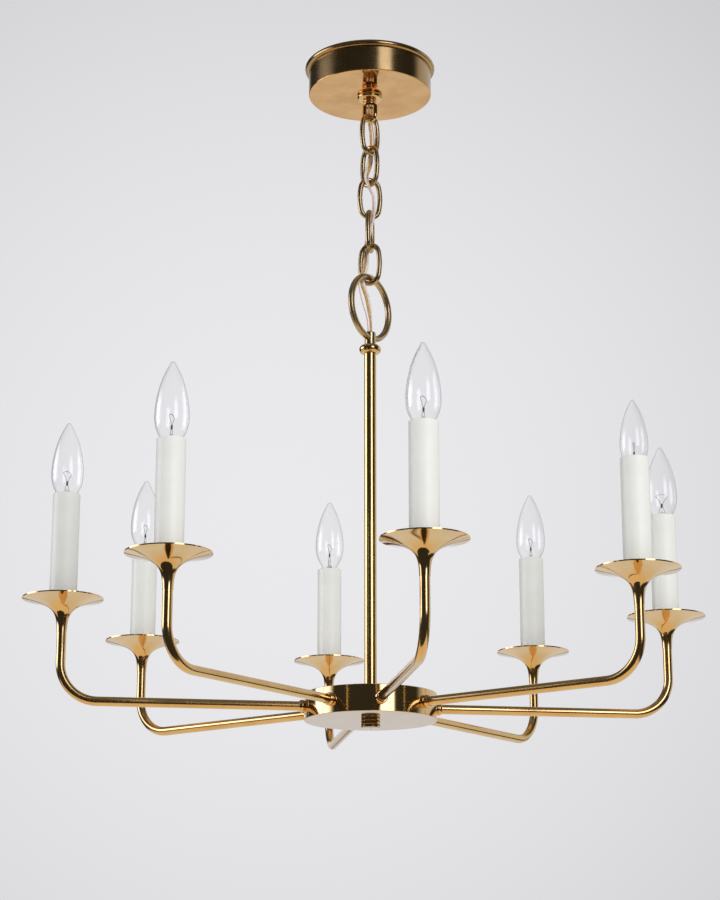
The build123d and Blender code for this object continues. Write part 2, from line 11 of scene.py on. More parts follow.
import bpy
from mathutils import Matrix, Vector


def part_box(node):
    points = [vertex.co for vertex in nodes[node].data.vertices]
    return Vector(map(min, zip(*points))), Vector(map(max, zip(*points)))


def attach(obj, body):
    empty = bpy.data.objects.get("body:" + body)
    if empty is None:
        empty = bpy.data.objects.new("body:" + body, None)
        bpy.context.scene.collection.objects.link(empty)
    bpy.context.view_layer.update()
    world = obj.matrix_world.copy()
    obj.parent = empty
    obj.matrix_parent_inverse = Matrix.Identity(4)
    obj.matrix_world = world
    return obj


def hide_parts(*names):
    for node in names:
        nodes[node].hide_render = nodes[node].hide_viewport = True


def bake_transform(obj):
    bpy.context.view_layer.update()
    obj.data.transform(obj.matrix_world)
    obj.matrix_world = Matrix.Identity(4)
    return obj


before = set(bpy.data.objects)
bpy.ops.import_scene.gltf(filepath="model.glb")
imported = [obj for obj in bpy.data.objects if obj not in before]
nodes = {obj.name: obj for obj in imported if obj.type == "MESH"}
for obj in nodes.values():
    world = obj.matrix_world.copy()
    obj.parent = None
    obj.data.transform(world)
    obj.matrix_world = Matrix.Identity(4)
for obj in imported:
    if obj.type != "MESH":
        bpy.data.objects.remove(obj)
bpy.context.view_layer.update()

MM = 0.001

# %% [markdown]
# ## Camera
# The photographer stood a little over two metres away, below the hub, and tipped the camera up. The ceiling
# plate then shows its underside while the candles stay nearly upright. A long lens keeps the far candles
# almost as large as the near ones. Only position, tilt and focal length are set; there is no lens shift to
# undo in other views.

# %% Camera
CAMERA_PLACE = (0.0, -2.1098, -1.0089)
CAMERA_TIP_UP = 0.2726
CAMERA_TURN = 0.0049
LENS_MM = 87.33
SENSOR_MM = 36.0

camera_data = bpy.data.cameras.new("studio_camera")
camera_data.lens = LENS_MM
camera_data.sensor_width = SENSOR_MM
camera = bpy.data.objects.new("studio_camera", camera_data)
camera.location = CAMERA_PLACE
camera.rotation_euler = (math.pi / 2 + CAMERA_TIP_UP, 0, CAMERA_TURN)
bpy.context.collection.objects.link(camera)
bpy.context.scene.camera = camera
print("camera:", LENS_MM, "mm lens at", CAMERA_PLACE)

# %% [markdown]
# ## Two helpers for meshes
# Nearly everything on a chandelier is either turned on a lathe or drawn as wire. So two helpers make most
# pieces: one spins an outline of (radius, height) points about a vertical axis, the other joins rings of
# points along a line. Both build the mesh from lists of vertices and faces, which keeps the rows even.

# %% Mesh helpers
SHARP_ANGLE = math.radians(40)


def new_piece(name, vertices, faces):
    """Link a smooth-shaded mesh object, with hard edges only where faces meet at a sharp angle."""
    mesh = bpy.data.meshes.new(name)
    mesh.from_pydata(vertices, [], faces)
    mesh.validate()
    mesh.shade_smooth()
    mesh.set_sharp_from_angle(angle=SHARP_ANGLE)
    piece = bpy.data.objects.new(name, mesh)
    bpy.context.collection.objects.link(piece)
    return piece


def turned_mesh(outline, segments):
    """Vertices and faces of a closed (radius, height) outline spun about Z."""
    count = len(outline)
    vertices = []
    for i in range(segments):
        turn = 2 * math.pi * i / segments
        vertices += [(r * math.cos(turn), r * math.sin(turn), z) for r, z in outline]
    faces = []
    for i in range(segments):
        here, ahead = count * i, count * ((i + 1) % segments)
        for j in range(count):
            k = (j + 1) % count
            faces.append((here + j, ahead + j, ahead + k, here + k))
    return vertices, faces


def bar_mesh(rings):
    """Vertices and faces of a bar given as rings of points along it, closed at both ends."""
    sides = len(rings[0])
    last = len(rings) - 1
    vertices = [point for ring in rings for point in ring]
    faces = [tuple(reversed(range(sides))), tuple(last * sides + k for k in range(sides))]
    for i in range(last):
        here, ahead = i * sides, (i + 1) * sides
        for k in range(sides):
            n = (k + 1) % sides
            faces.append((here + k, here + n, ahead + n, ahead + k))
    return vertices, faces


def headings(line):
    """Direction of travel at every point of a line."""
    last = len(line) - 1
    return [(line[min(i + 1, last)] - line[max(i - 1, 0)]).normalized() for i in range(last + 1)]


def round_wire(line, radius, sides):
    """Vertices and faces of a round wire along a line of points, without twist."""
    rings = []
    side = headings(line)[0].orthogonal().normalized()
    for point, along in zip(line, headings(line)):
        side = (side - along * side.dot(along)).normalized()
        across = along.cross(side)
        turns = [2 * math.pi * k / sides for k in range(sides)]
        rings.append([point + radius * (math.cos(t) * side + math.sin(t) * across) for t in turns])
    return bar_mesh(rings)


print("helpers: turned_mesh, bar_mesh, round_wire")

# %% [markdown]
# ## Lamp cord and ground wire
# A soft lamp cord and a bare ground wire are threaded down through the chain. They weave from link to link
# and slump against the wire of the links. Each is one smooth NURBS line, drawn through given points. The
# cord is the clear twin kind: two strands side by side, one of bare copper and one tinned, that turn slowly
# about each other. The chain bends at six places, so each line is cut into six stretches at the middle of
# the links, and every stretch crosses one joint.

# %% Cord routes
CORD_ROUTE = (
    (-0.8, 0.0, -3.0),
    (-0.5, 0.0, -25.0),
    (-0.8, 0.0, -47.5),
    (-1.2, 8.5, -59.0),
    (1.5, 7.7, -76.7),
    (0.8, 8.7, -94.7),
    (-1.3, 0.4, -112.8),
    (-5.5, -7.5, -130.8),
    (4.5, -7.9, -148.9),
    (4.8, -6.8, -166.9),
    (0.7, 0.3, -185.0),
    (-4.1, 9.0, -203.0),
    (-2.4, 2.4, -221.1),
    (-9.7, -2.4, -239.1),
    (-2.4, -2.6, -258.0),
    (0.8, 0.0, -281.5),
    (0.8, 0.0, -294.8),
)
GROUND_ROUTE = (
    (2.1, 0.0, -3.0),
    (2.2, 0.3, -25.0),
    (2.1, 0.0, -47.5),
    (1.6, 8.9, -59.0),
    (4.7, 8.3, -76.7),
    (3.6, 9.1, -94.7),
    (1.8, 0.9, -112.8),
    (-3.4, -10.4, -130.8),
    (2.8, -10.7, -148.9),
    (2.8, -8.9, -166.9),
    (-2.3, -0.7, -185.0),
    (-7.0, 9.2, -203.0),
    (-5.2, 3.4, -221.1),
    (-13.0, -3.8, -239.1),
    (-8.6, -4.0, -262.0),
    (-2.1, 0.0, -281.5),
    (-2.1, 0.0, -294.8),
)
LINK_NODES = [f"chain_link_{i}" for i in range(1, 6)]
ROUTE_STEPS = 12


def smooth_line(route, steps):
    """Points along the NURBS curve whose control points are the route, in millimetres."""
    data = bpy.data.curves.new("route", "CURVE")
    data.dimensions = "3D"
    spline = data.splines.new("NURBS")
    spline.points.add(len(route) - 1)
    for knot, place in zip(spline.points, route):
        knot.co = (*(value * MM for value in place), 1)
    spline.order_u = 3
    spline.use_endpoint_u = True
    spline.resolution_u = steps
    carrier = bpy.data.objects.new("route", data)
    bpy.context.collection.objects.link(carrier)
    mesh = bpy.data.meshes.new_from_object(carrier)
    line = [vertex.co.copy() for vertex in mesh.vertices]
    bpy.data.objects.remove(carrier)
    bpy.data.curves.remove(data)
    bpy.data.meshes.remove(mesh)
    return line


def line_length(line):
    """Length along a line of points."""
    return sum((b - a).length for a, b in zip(line, line[1:]))


link_middles = [sum(corner.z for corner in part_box(node)) / 2 for node in LINK_NODES]
cord_line = smooth_line(CORD_ROUTE, ROUTE_STEPS)
ground_line = smooth_line(GROUND_ROUTE, ROUTE_STEPS)
print("cord", round(line_length(cord_line), 4), "m; ground wire", round(line_length(ground_line), 4), "m")

# %% Twin cord
STRAND_RADIUS = 1.3 * MM
STRAND_OFFSET = 1.2 * MM
STRAND_OPENING = math.radians(40)
STRAND_SIDES = 10
CORD_TWIST = (
    (-3.0, -90),
    (-90.0, -80),
    (-112.8, 0),
    (-140.0, 90),
    (-190.0, 100),
    (-230.0, 170),
    (-268.0, 195),
    (-284.0, 270),
    (-296.0, 270),
)


def twist_at(height):
    """Angle about Z of the copper strand at a height in millimetres."""
    for (top, first), (foot, second) in zip(CORD_TWIST, CORD_TWIST[1:]):
        if height >= foot:
            return math.radians(first + (second - first) * (top - height) / (top - foot))
    return math.radians(CORD_TWIST[-1][1])


def strand_outline(sign):
    """Half of the twin section as (wide, narrow) offsets: one strand, open towards the other."""
    first = STRAND_OPENING - math.pi
    step = (2 * math.pi - 2 * STRAND_OPENING) / (STRAND_SIDES - 1)
    turns = [first + step * k for k in range(STRAND_SIDES)]
    outline = [(STRAND_OFFSET + STRAND_RADIUS * math.cos(t), STRAND_RADIUS * math.sin(t)) for t in turns]
    return [(sign * wide, sign * narrow) for wide, narrow in outline]


def twin_cord(line):
    """Vertices and faces of a twin cord along a line, turned as the twist says."""
    section = strand_outline(1) + strand_outline(-1)
    rings = []
    for point, along in zip(line, headings(line)):
        turn = twist_at(point.z / MM)
        wide = Vector((math.cos(turn), math.sin(turn), 0))
        wide = (wide - along * wide.dot(along)).normalized()
        narrow = along.cross(wide)
        rings.append([point + a * wide + b * narrow for a, b in section])
    return bar_mesh(rings)


# %% Cord stretches
GROUND_WIDTH = 1.3 * MM
GROUND_SIDES = 12


def stretches(line):
    """Cut a downward line into stretches at the middle heights of the links."""
    cuts = [min(range(len(line)), key=lambda i: abs(line[i].z - middle)) for middle in link_middles]
    ends = [0, *cuts, len(line) - 1]
    return [line[a : b + 1] for a, b in zip(ends, ends[1:])]


def ground_wire(line):
    """Vertices and faces of the bare ground wire along a line."""
    return round_wire(line, GROUND_WIDTH / 2, GROUND_SIDES)


def lay_cord(name, line, make):
    """One piece for each stretch of a cord."""
    made = []
    for i, stretch in enumerate(stretches(line)):
        piece = new_piece(f"{name}_stretch_{i + 1}", *make(stretch))
        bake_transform(piece)
        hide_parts(name)
        made.append(piece)
    return made


cord_pieces = lay_cord("lamp_cord", cord_line, twin_cord)
ground_pieces = lay_cord("ground_wire", ground_line, ground_wire)
print("cord pieces:", len(cord_pieces), "ground pieces:", len(ground_pieces))

# %% [markdown]
# ## Shared effects for the finishes
# Polished metal is never one flat colour. Lacquer pools, polishing leaves faint lines and fingers leave a
# haze. Each of these effects is a node group that a material places with its own values: clouds of tone, a
# haze that roughens the shine in patches, and fine lines left by the lathe. They read object coordinates,
# so they need no unwrapping.

# %% Node helpers


def add(tree, kind, **settings):
    """Add a node and set its properties."""
    node = tree.nodes.new(kind)
    for key, value in settings.items():
        setattr(node, key, value)
    return node


def new_group(name, inputs, outputs):
    """A shader node group with sockets from (name, type, default) inputs and (name, type) outputs."""
    group = bpy.data.node_groups.new(name, "ShaderNodeTree")
    for label, kind, default in inputs:
        socket = group.interface.new_socket(label, in_out="INPUT", socket_type=kind)
        if default is not None:
            socket.default_value = default
    for label, kind in outputs:
        group.interface.new_socket(label, in_out="OUTPUT", socket_type=kind)
    return group, add(group, "NodeGroupInput"), add(group, "NodeGroupOutput")


FLOAT, COLOR, VECTOR = "NodeSocketFloat", "NodeSocketColor", "NodeSocketVector"
print("node helpers: add, new_group")

# %% Tone clouds


def make_tone_clouds():
    """Group: two tones mixed by soft clouds of a given size."""
    group, given, result = new_group(
        "tone_clouds",
        [("Vector", VECTOR, None), ("Light", COLOR, None), ("Deep", COLOR, None), ("Density", FLOAT, 40.0)],
        [("Color", COLOR)],
    )
    noise = add(group, "ShaderNodeTexNoise")
    noise.inputs["Detail"].default_value = 5.0
    noise.inputs["Roughness"].default_value = 0.6
    spread = add(group, "ShaderNodeMapRange", interpolation_type="SMOOTHSTEP")
    spread.inputs["From Min"].default_value = 0.32
    spread.inputs["From Max"].default_value = 0.68
    mix = add(group, "ShaderNodeMix", data_type="RGBA")
    group.links.new(given.outputs["Vector"], noise.inputs["Vector"])
    group.links.new(given.outputs["Density"], noise.inputs["Scale"])
    group.links.new(noise.outputs["Fac"], spread.inputs["Value"])
    group.links.new(spread.outputs["Result"], mix.inputs["Factor"])
    group.links.new(given.outputs["Light"], mix.inputs["A"])
    group.links.new(given.outputs["Deep"], mix.inputs["B"])
    group.links.new(mix.outputs["Result"], result.inputs["Color"])
    return group


tone_clouds = make_tone_clouds()
print("group:", tone_clouds.name)

# %% Handling haze


def make_handling_haze():
    """Group: roughness that drifts between a least and a most value in uneven patches."""
    group, given, result = new_group(
        "handling_haze",
        [("Vector", VECTOR, None), ("Least", FLOAT, 0.05), ("Most", FLOAT, 0.15), ("Density", FLOAT, 30.0)],
        [("Roughness", FLOAT)],
    )
    noise = add(group, "ShaderNodeTexNoise")
    noise.inputs["Detail"].default_value = 2.0
    spread = add(group, "ShaderNodeMapRange")
    spread.inputs["From Min"].default_value = 0.35
    spread.inputs["From Max"].default_value = 0.7
    group.links.new(given.outputs["Vector"], noise.inputs["Vector"])
    group.links.new(given.outputs["Density"], noise.inputs["Scale"])
    group.links.new(noise.outputs["Fac"], spread.inputs["Value"])
    group.links.new(given.outputs["Least"], spread.inputs["To Min"])
    group.links.new(given.outputs["Most"], spread.inputs["To Max"])
    group.links.new(spread.outputs["Result"], result.inputs["Roughness"])
    return group


handling_haze = make_handling_haze()
print("group:", handling_haze.name)

# %% Lathe lines


def make_lathe_lines():
    """Group: fine rings round the Z axis, as a height that changes with radius and level only."""
    group, given, result = new_group(
        "lathe_lines",
        [("Vector", VECTOR, None), ("Density", FLOAT, 1500.0)],
        [("Height", FLOAT)],
    )
    split = add(group, "ShaderNodeSeparateXYZ")
    flat = add(group, "ShaderNodeCombineXYZ")
    radius = add(group, "ShaderNodeVectorMath", operation="LENGTH")
    rings = add(group, "ShaderNodeCombineXYZ")
    noise = add(group, "ShaderNodeTexNoise", noise_dimensions="2D")
    noise.inputs["Detail"].default_value = 3.0
    group.links.new(given.outputs["Vector"], split.inputs["Vector"])
    group.links.new(split.outputs["X"], flat.inputs["X"])
    group.links.new(split.outputs["Y"], flat.inputs["Y"])
    group.links.new(flat.outputs["Vector"], radius.inputs[0])
    group.links.new(radius.outputs["Value"], rings.inputs["X"])
    group.links.new(split.outputs["Z"], rings.inputs["Y"])
    group.links.new(rings.outputs["Vector"], noise.inputs["Vector"])
    group.links.new(given.outputs["Density"], noise.inputs["Scale"])
    group.links.new(noise.outputs["Fac"], result.inputs["Height"])
    return group


lathe_lines = make_lathe_lines()
print("group:", lathe_lines.name)

# %% [markdown]
# ## Polished, drawn and aged brass
# The arms, hub, stem and trumpets are solid brass, buffed to a mirror and then lacquered. Brass is a metal,
# so its colour lives in its reflections. The thin lacquer is a second, clear shine on top: the coat. It
# also whitens grazing views, which is why the underside of the hub looks nearly silver. The stem and the
# arms are drawn tube, buffed less finely, and mirror the lamps as broad soft lines. The chain and the ring
# have lost their buffing and have darkened to olive. Both take the same recipe with other tones and more
# haze.

# %% Brass
BRASS_LIGHT = (0.87, 0.58, 0.23, 1)
BRASS_DEEP = (0.81, 0.51, 0.18, 1)
AGED_LIGHT = (0.70, 0.52, 0.27, 1)
AGED_DEEP = (0.55, 0.39, 0.18, 1)


def new_material(name):
    """A material with a Principled shader and object coordinates: material, tree, shader, coordinates."""
    material = bpy.data.materials.new(name)
    material.use_nodes = True
    tree = material.node_tree
    tree.nodes.clear()
    shader = add(tree, "ShaderNodeBsdfPrincipled")
    surface = add(tree, "ShaderNodeOutputMaterial")
    tree.links.new(shader.outputs["BSDF"], surface.inputs["Surface"])
    place = add(tree, "ShaderNodeTexCoord")
    return material, tree, shader, place.outputs["Object"]


def put(tree, group, place, **values):
    """Place a node group at the given coordinates with its own values."""
    node = add(tree, "ShaderNodeGroup", node_tree=group)
    tree.links.new(place, node.inputs["Vector"])
    for label, value in values.items():
        node.inputs[label].default_value = value
    return node


def make_brass(name, light, deep, least, most, coat):
    """Buffed brass under clear lacquer, with drifting tone and haze."""
    material, tree, shader, place = new_material(name)
    tone = put(tree, tone_clouds, place, Light=light, Deep=deep, Density=40.0)
    haze = put(tree, handling_haze, place, Least=least, Most=most, Density=25.0)
    tree.links.new(tone.outputs["Color"], shader.inputs["Base Color"])
    tree.links.new(haze.outputs["Roughness"], shader.inputs["Roughness"])
    shader.inputs["Metallic"].default_value = 1.0
    shader.inputs["Coat Weight"].default_value = coat
    shader.inputs["Coat Roughness"].default_value = 0.03
    return material


polished_brass = make_brass("polished_brass_finish", BRASS_LIGHT, BRASS_DEEP, least=0.08, most=0.13, coat=1.0)
drawn_brass = make_brass("drawn_brass_finish", BRASS_LIGHT, BRASS_DEEP, least=0.15, most=0.2, coat=0.8)
aged_brass = make_brass("aged_brass_finish", AGED_LIGHT, AGED_DEEP, least=0.24, most=0.34, coat=0.3)
print("materials:", polished_brass.name, drawn_brass.name, aged_brass.name)

# %% [markdown]
# ## Satin brass for the canopy
# The spun canopy is finished less finely than the rest. Its face is cloudy and tan, with faint rings from
# the lathe, yet it still mirrors the loop beneath it. Its upright wall was only brushed and is given a darker
# tone. One material serves both: a mask by height tells face from wall, and mixes two sets of the same
# effects.

# %% Satin brass
FACE_LIGHT = (0.83, 0.50, 0.20, 1)
FACE_DEEP = (0.70, 0.39, 0.14, 1)
WALL_LIGHT = (0.54, 0.355, 0.145, 1)
WALL_DEEP = (0.42, 0.265, 0.10, 1)
RING_DEPTH = 0.02 * MM
FACE_EDGE = (0.5 * MM, 1.2 * MM)
canopy_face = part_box("canopy")[0].z


def mix_values(tree, mask, first, second):
    """First value where the mask is 0, second where it is 1."""
    mix = add(tree, "ShaderNodeMix", data_type="FLOAT")
    tree.links.new(mask, mix.inputs["Factor"])
    tree.links.new(first, mix.inputs["A"])
    tree.links.new(second, mix.inputs["B"])
    return mix.outputs["Result"]


def mix_colors(tree, mask, first, second):
    """First colour where the mask is 0, second where it is 1."""
    mix = add(tree, "ShaderNodeMix", data_type="RGBA")
    tree.links.new(mask, mix.inputs["Factor"])
    tree.links.new(first, mix.inputs["A"])
    tree.links.new(second, mix.inputs["B"])
    return mix.outputs["Result"]


def height_mask(tree, place, low, high):
    """1 below the low height, 0 above the high one."""
    split = add(tree, "ShaderNodeSeparateXYZ")
    step = add(tree, "ShaderNodeMapRange")
    step.inputs["From Min"].default_value = low
    step.inputs["From Max"].default_value = high
    step.inputs["To Min"].default_value = 1.0
    step.inputs["To Max"].default_value = 0.0
    tree.links.new(place, split.inputs["Vector"])
    tree.links.new(split.outputs["Z"], step.inputs["Value"])
    return step.outputs["Result"]


def make_satin_brass():
    """Lathe-finished brass: a cloudy bright face and a dark brushed wall."""
    material, tree, shader, place = new_material("satin_brass_finish")
    face = height_mask(tree, place, *(canopy_face + edge for edge in FACE_EDGE))
    face_tone = put(tree, tone_clouds, place, Light=FACE_LIGHT, Deep=FACE_DEEP, Density=28.0)
    wall_tone = put(tree, tone_clouds, place, Light=WALL_LIGHT, Deep=WALL_DEEP, Density=28.0)
    face_haze = put(tree, handling_haze, place, Least=0.06, Most=0.12, Density=22.0)
    wall_haze = put(tree, handling_haze, place, Least=0.18, Most=0.26, Density=22.0)
    lines = put(tree, lathe_lines, place, Density=1600.0)
    bump = add(tree, "ShaderNodeBump")
    bump.inputs["Distance"].default_value = RING_DEPTH
    bump.inputs["Strength"].default_value = 0.25
    tone = mix_colors(tree, face, wall_tone.outputs["Color"], face_tone.outputs["Color"])
    haze = mix_values(tree, face, wall_haze.outputs["Roughness"], face_haze.outputs["Roughness"])
    tree.links.new(lines.outputs["Height"], bump.inputs["Height"])
    tree.links.new(bump.outputs["Normal"], shader.inputs["Normal"])
    tree.links.new(tone, shader.inputs["Base Color"])
    tree.links.new(haze, shader.inputs["Roughness"])
    shader.inputs["Metallic"].default_value = 1.0
    shader.inputs["Coat Weight"].default_value = 0.25
    shader.inputs["Coat Roughness"].default_value = 0.1
    return material


satin_brass = make_satin_brass()
print("material:", satin_brass.name)

# %% [markdown]
# ## Plated steel, socket plastic, cord strands and bare wire
# The strap, nuts and lamp bases are dull zinc-plated steel, and the sockets dark moulded plastic: both are
# hidden but still finished. The cord's strands lie in a clear glossy jacket, copper in one half and tinned
# copper in the other, and the ground wire is bare copper. The wires in the bulbs are dark and thin.

# %% Small finishes


def make_finish(name, light, deep, least, most, density, metallic):
    """A clouded, hazed finish for a small plain piece."""
    material, tree, shader, place = new_material(name)
    tone = put(tree, tone_clouds, place, Light=light, Deep=deep, Density=density)
    haze = put(tree, handling_haze, place, Least=least, Most=most, Density=density)
    tree.links.new(tone.outputs["Color"], shader.inputs["Base Color"])
    tree.links.new(haze.outputs["Roughness"], shader.inputs["Roughness"])
    shader.inputs["Metallic"].default_value = metallic
    return material


STEEL = ((0.62, 0.63, 0.64, 1), (0.50, 0.51, 0.52, 1))
PLASTIC = ((0.030, 0.026, 0.022, 1), (0.020, 0.018, 0.016, 1))
COPPER_STRAND = ((0.60, 0.38, 0.15, 1), (0.44, 0.26, 0.09, 1))
TINNED_STRAND = ((0.80, 0.74, 0.70, 1), (0.62, 0.55, 0.50, 1))
COPPER = ((0.92, 0.66, 0.56, 1), (0.80, 0.52, 0.43, 1))
TUNGSTEN = ((0.12, 0.12, 0.125, 1), (0.07, 0.07, 0.075, 1))

plated_steel = make_finish("plated_steel_finish", *STEEL, least=0.28, most=0.42, density=120.0, metallic=1.0)
socket_plastic = make_finish(
    "socket_plastic_finish", *PLASTIC, least=0.4, most=0.5, density=150.0, metallic=0.0
)
copper_strand = make_finish(
    "copper_strand_finish", *COPPER_STRAND, least=0.3, most=0.45, density=400.0, metallic=0.0
)
tinned_strand = make_finish(
    "tinned_strand_finish", *TINNED_STRAND, least=0.3, most=0.45, density=400.0, metallic=0.0
)
bare_copper = make_finish("bare_copper_finish", *COPPER, least=0.45, most=0.6, density=400.0, metallic=0.4)
tungsten = make_finish("tungsten_finish", *TUNGSTEN, least=0.35, most=0.5, density=600.0, metallic=1.0)
print("small finishes: 6")

# %% Cord finishes


def paint_cord(piece):
    """Copper finish on one strand of a twin cord and tinned finish on the other."""
    piece.data.materials.append(copper_strand)
    piece.data.materials.append(tinned_strand)
    for face in piece.data.polygons[2:]:
        corner = min(face.vertices) % (2 * STRAND_SIDES)
        face.material_index = 0 if corner < STRAND_SIDES else 1


for piece in cord_pieces:
    paint_cord(piece)
for piece in ground_pieces:
    piece.data.materials.append(bare_copper)
print("painted", len(cord_pieces) + len(ground_pieces), "cord stretches")

# %% [markdown]
# ## Candle sleeves
# The candles are plain off-white tubes that hide the sockets. They are moulded in resin with a soft satin
# face. Each is turned as a thin tube with a rounded lip, so that the top edge catches the light as the real
# one does.

# %% Sleeve material
SLEEVE_LIGHT = (0.87, 0.875, 0.83, 1)
SLEEVE_DEEP = (0.84, 0.845, 0.795, 1)


def make_ivory_sleeve():
    """Off-white resin with a satin face."""
    material, tree, shader, place = new_material("ivory_sleeve_finish")
    tone = put(tree, tone_clouds, place, Light=SLEEVE_LIGHT, Deep=SLEEVE_DEEP, Density=35.0)
    haze = put(tree, handling_haze, place, Least=0.38, Most=0.5, Density=50.0)
    tree.links.new(tone.outputs["Color"], shader.inputs["Base Color"])
    tree.links.new(haze.outputs["Roughness"], shader.inputs["Roughness"])
    return material


ivory_sleeve = make_ivory_sleeve()
print("material:", ivory_sleeve.name)

# %% Sleeves
ARMS = range(1, 9)
SLEEVE_WALL = 1.9 * MM
SLEEVE_LIP = 0.6 * MM
LIP_STEPS = 5
SLEEVE_SEGMENTS = 96


def candle_place(arm):
    """Axis of an arm's candle, on the floor of its bobeche, and the sleeve's radius and height."""
    low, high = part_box(f"candle_sleeve_{arm}")
    return (low + high) / 2, (high.x - low.x) / 2, low.z, high.z


def sleeve_outline(radius, height):
    """Closed tube outline with both top edges rounded."""
    inner = radius - SLEEVE_WALL
    outline = [(inner, 0.0), (radius, 0.0)]
    for i in range(LIP_STEPS + 1):
        turn = math.pi / 2 * i / LIP_STEPS
        inset, drop = SLEEVE_LIP * (1 - math.cos(turn)), SLEEVE_LIP * (1 - math.sin(turn))
        outline.append((radius - inset, height - drop))
    for i in range(LIP_STEPS + 1):
        turn = math.pi / 2 * (1 - i / LIP_STEPS)
        inset, drop = SLEEVE_LIP * (1 - math.cos(turn)), SLEEVE_LIP * (1 - math.sin(turn))
        outline.append((inner + inset, height - drop))
    return outline


for arm in ARMS:
    centre, radius, bottom, top = candle_place(arm)
    outline = sleeve_outline(radius, top - bottom)
    sleeve = new_piece(f"sleeve_{arm}", *turned_mesh(outline, SLEEVE_SEGMENTS))
    sleeve.location = (centre.x, centre.y, bottom)
    sleeve.data.materials.append(ivory_sleeve)
    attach(sleeve, "hanging_frame")
    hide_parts(f"candle_sleeve_{arm}")
print("sleeves:", len(ARMS))

# %% [markdown]
# ## Knob under the hub
# The knob is a small nut with two stacked discs, parted by a groove for the fingers. The rounded edges of
# the groove catch bright lines from the lamps. It is turned from one outline, inside the size of the
# frame's plain knob.

# %% Knob
KNOB_EDGE = 0.2 * MM
GROOVE_DEPTH = 0.5 * MM
GROOVE_LEVEL = 0.47
EDGE_STEPS = 4
KNOB_SEGMENTS = 96
BORE_SHARE = 0.2
MOUTH_SHARE = 0.5
MOUTH_DEPTH = 0.3


def rounded_disc(radius, foot, head):
    """Outer outline of a disc with rounded edges, from its foot to its head."""
    turns = [math.pi / 2 * i / EDGE_STEPS for i in range(EDGE_STEPS + 1)]
    inner = radius - KNOB_EDGE
    low = [(inner + KNOB_EDGE * math.sin(t), foot + KNOB_EDGE * (1 - math.cos(t))) for t in turns]
    high = [(inner + KNOB_EDGE * math.cos(t), head - KNOB_EDGE * (1 - math.sin(t))) for t in turns]
    return low + high


low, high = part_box("hub_knob")
knob_radius, knob_height = (high.x - low.x) / 2, high.z - low.z
bore = BORE_SHARE * knob_radius
groove = GROOVE_LEVEL * knob_height
waist = (knob_radius - GROOVE_DEPTH, groove)
discs = [rounded_disc(knob_radius, 0.0, groove), [waist], rounded_disc(knob_radius, groove, knob_height)]
knob_outline = [(bore, MOUTH_DEPTH * knob_height), (MOUTH_SHARE * bore, 0.0)]
knob_outline += [point for disc in discs for point in disc]
knob_outline.append((bore, knob_height))
knob = new_piece("knob", *turned_mesh(knob_outline, KNOB_SEGMENTS))
knob.location = ((low.x + high.x) / 2, (low.y + high.y) / 2, low.z)
knob.data.materials.append(polished_brass)
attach(knob, "hanging_frame")
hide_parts("hub_knob")
print("knob", round(knob_height / MM, 2), "mm high")

# %% [markdown]
# ## Clear glass
# The bulbs are thin blown glass. The frame's bulb nodes are true shells, with an inner and an outer face,
# so clear glass on them bends light as the real envelope does. Along the outline a grey is painted into the
# glass colour, as shade for the dark room that the edges of real bulbs show. Layer Weight knows how edge-on
# a face is seen, so it mixes in that painted grey.

# %% Glass material
# The second colour is painted shade: a grey mixed into the glass colour where the glass is seen edge on.
GLASS_CLEAR = (1.0, 1.0, 1.0, 1)
GLASS_PAINTED_SHADE = (0.58, 0.60, 0.61, 1)
PAINTED_SHADE_FROM, PAINTED_SHADE_TO = 0.72, 0.98


def make_clear_glass():
    """Clear lamp glass with grey painted shade along its outline."""
    material, tree, shader, place = new_material("clear_glass_finish")
    edge = add(tree, "ShaderNodeLayerWeight")
    edge.inputs["Blend"].default_value = 0.5
    painted_shade_share = add(tree, "ShaderNodeMapRange", interpolation_type="SMOOTHSTEP")
    painted_shade_share.inputs["From Min"].default_value = PAINTED_SHADE_FROM
    painted_shade_share.inputs["From Max"].default_value = PAINTED_SHADE_TO
    tint = add(tree, "ShaderNodeMix", data_type="RGBA")
    tint.inputs["A"].default_value = GLASS_CLEAR
    tint.inputs["B"].default_value = GLASS_PAINTED_SHADE
    tree.links.new(edge.outputs["Facing"], painted_shade_share.inputs["Value"])
    tree.links.new(painted_shade_share.outputs["Result"], tint.inputs["Factor"])
    tree.links.new(tint.outputs["Result"], shader.inputs["Base Color"])
    shader.inputs["Roughness"].default_value = 0.0
    shader.inputs["Transmission Weight"].default_value = 1.0
    shader.inputs["IOR"].default_value = 1.45
    return material


clear_glass = make_clear_glass()
print("material:", clear_glass.name)

# %% [markdown]
# ## Inside the bulbs
# A glass stem rises from each bulb's neck and carries two lead wires. They bow apart, come together in a
# small bead and spread again to hold the filament, a coil of wire finer than a hair. Wires this thin still
# read against the pale background, so they are real tubes, bent along smooth lines. All sizes are for the
# common bulb, and one bulb is smaller, so each mount is scaled by the height of its own glass.

# %% Mount shapes
BULB_HEIGHT = 78.6
LEAD_ROUTE = (
    (1.2, 0.0, 3.0),
    (2.6, 0.0, 6.0),
    (3.3, 0.0, 9.0),
    (2.4, 0.0, 13.0),
    (0.8, 0.0, 16.0),
    (0.8, 0.0, 18.5),
    (2.2, 0.0, 22.0),
    (6.2, 0.0, 27.0),
)
LEAD_RADIUS = 0.2 * MM
BEAD_RADIUS = 1.0 * MM
BEAD_MIDDLE = 17.2 * MM
BEAD_HALF = 2.3 * MM
BEAD_BORE = 0.05 * MM
COIL_RADIUS = 0.24 * MM
COIL_WIRE = 0.06 * MM
COIL_TURNS = 34
COIL_STEPS = 10
COIL_RISE = 2.0 * MM
STEM_OUTLINE = (
    (0.3, 0.4),
    (4.6, 0.4),
    (3.4, 2.0),
    (2.2, 4.5),
    (1.8, 7.0),
    (1.6, 9.6),
    (1.0, 10.6),
    (0.3, 10.9),
)
LEAD_STEPS = 8
LEAD_SIDES = 8
BEAD_STEPS = 12
BEAD_SEGMENTS = 24
COIL_SIDES = 5
STEM_SEGMENTS = 32


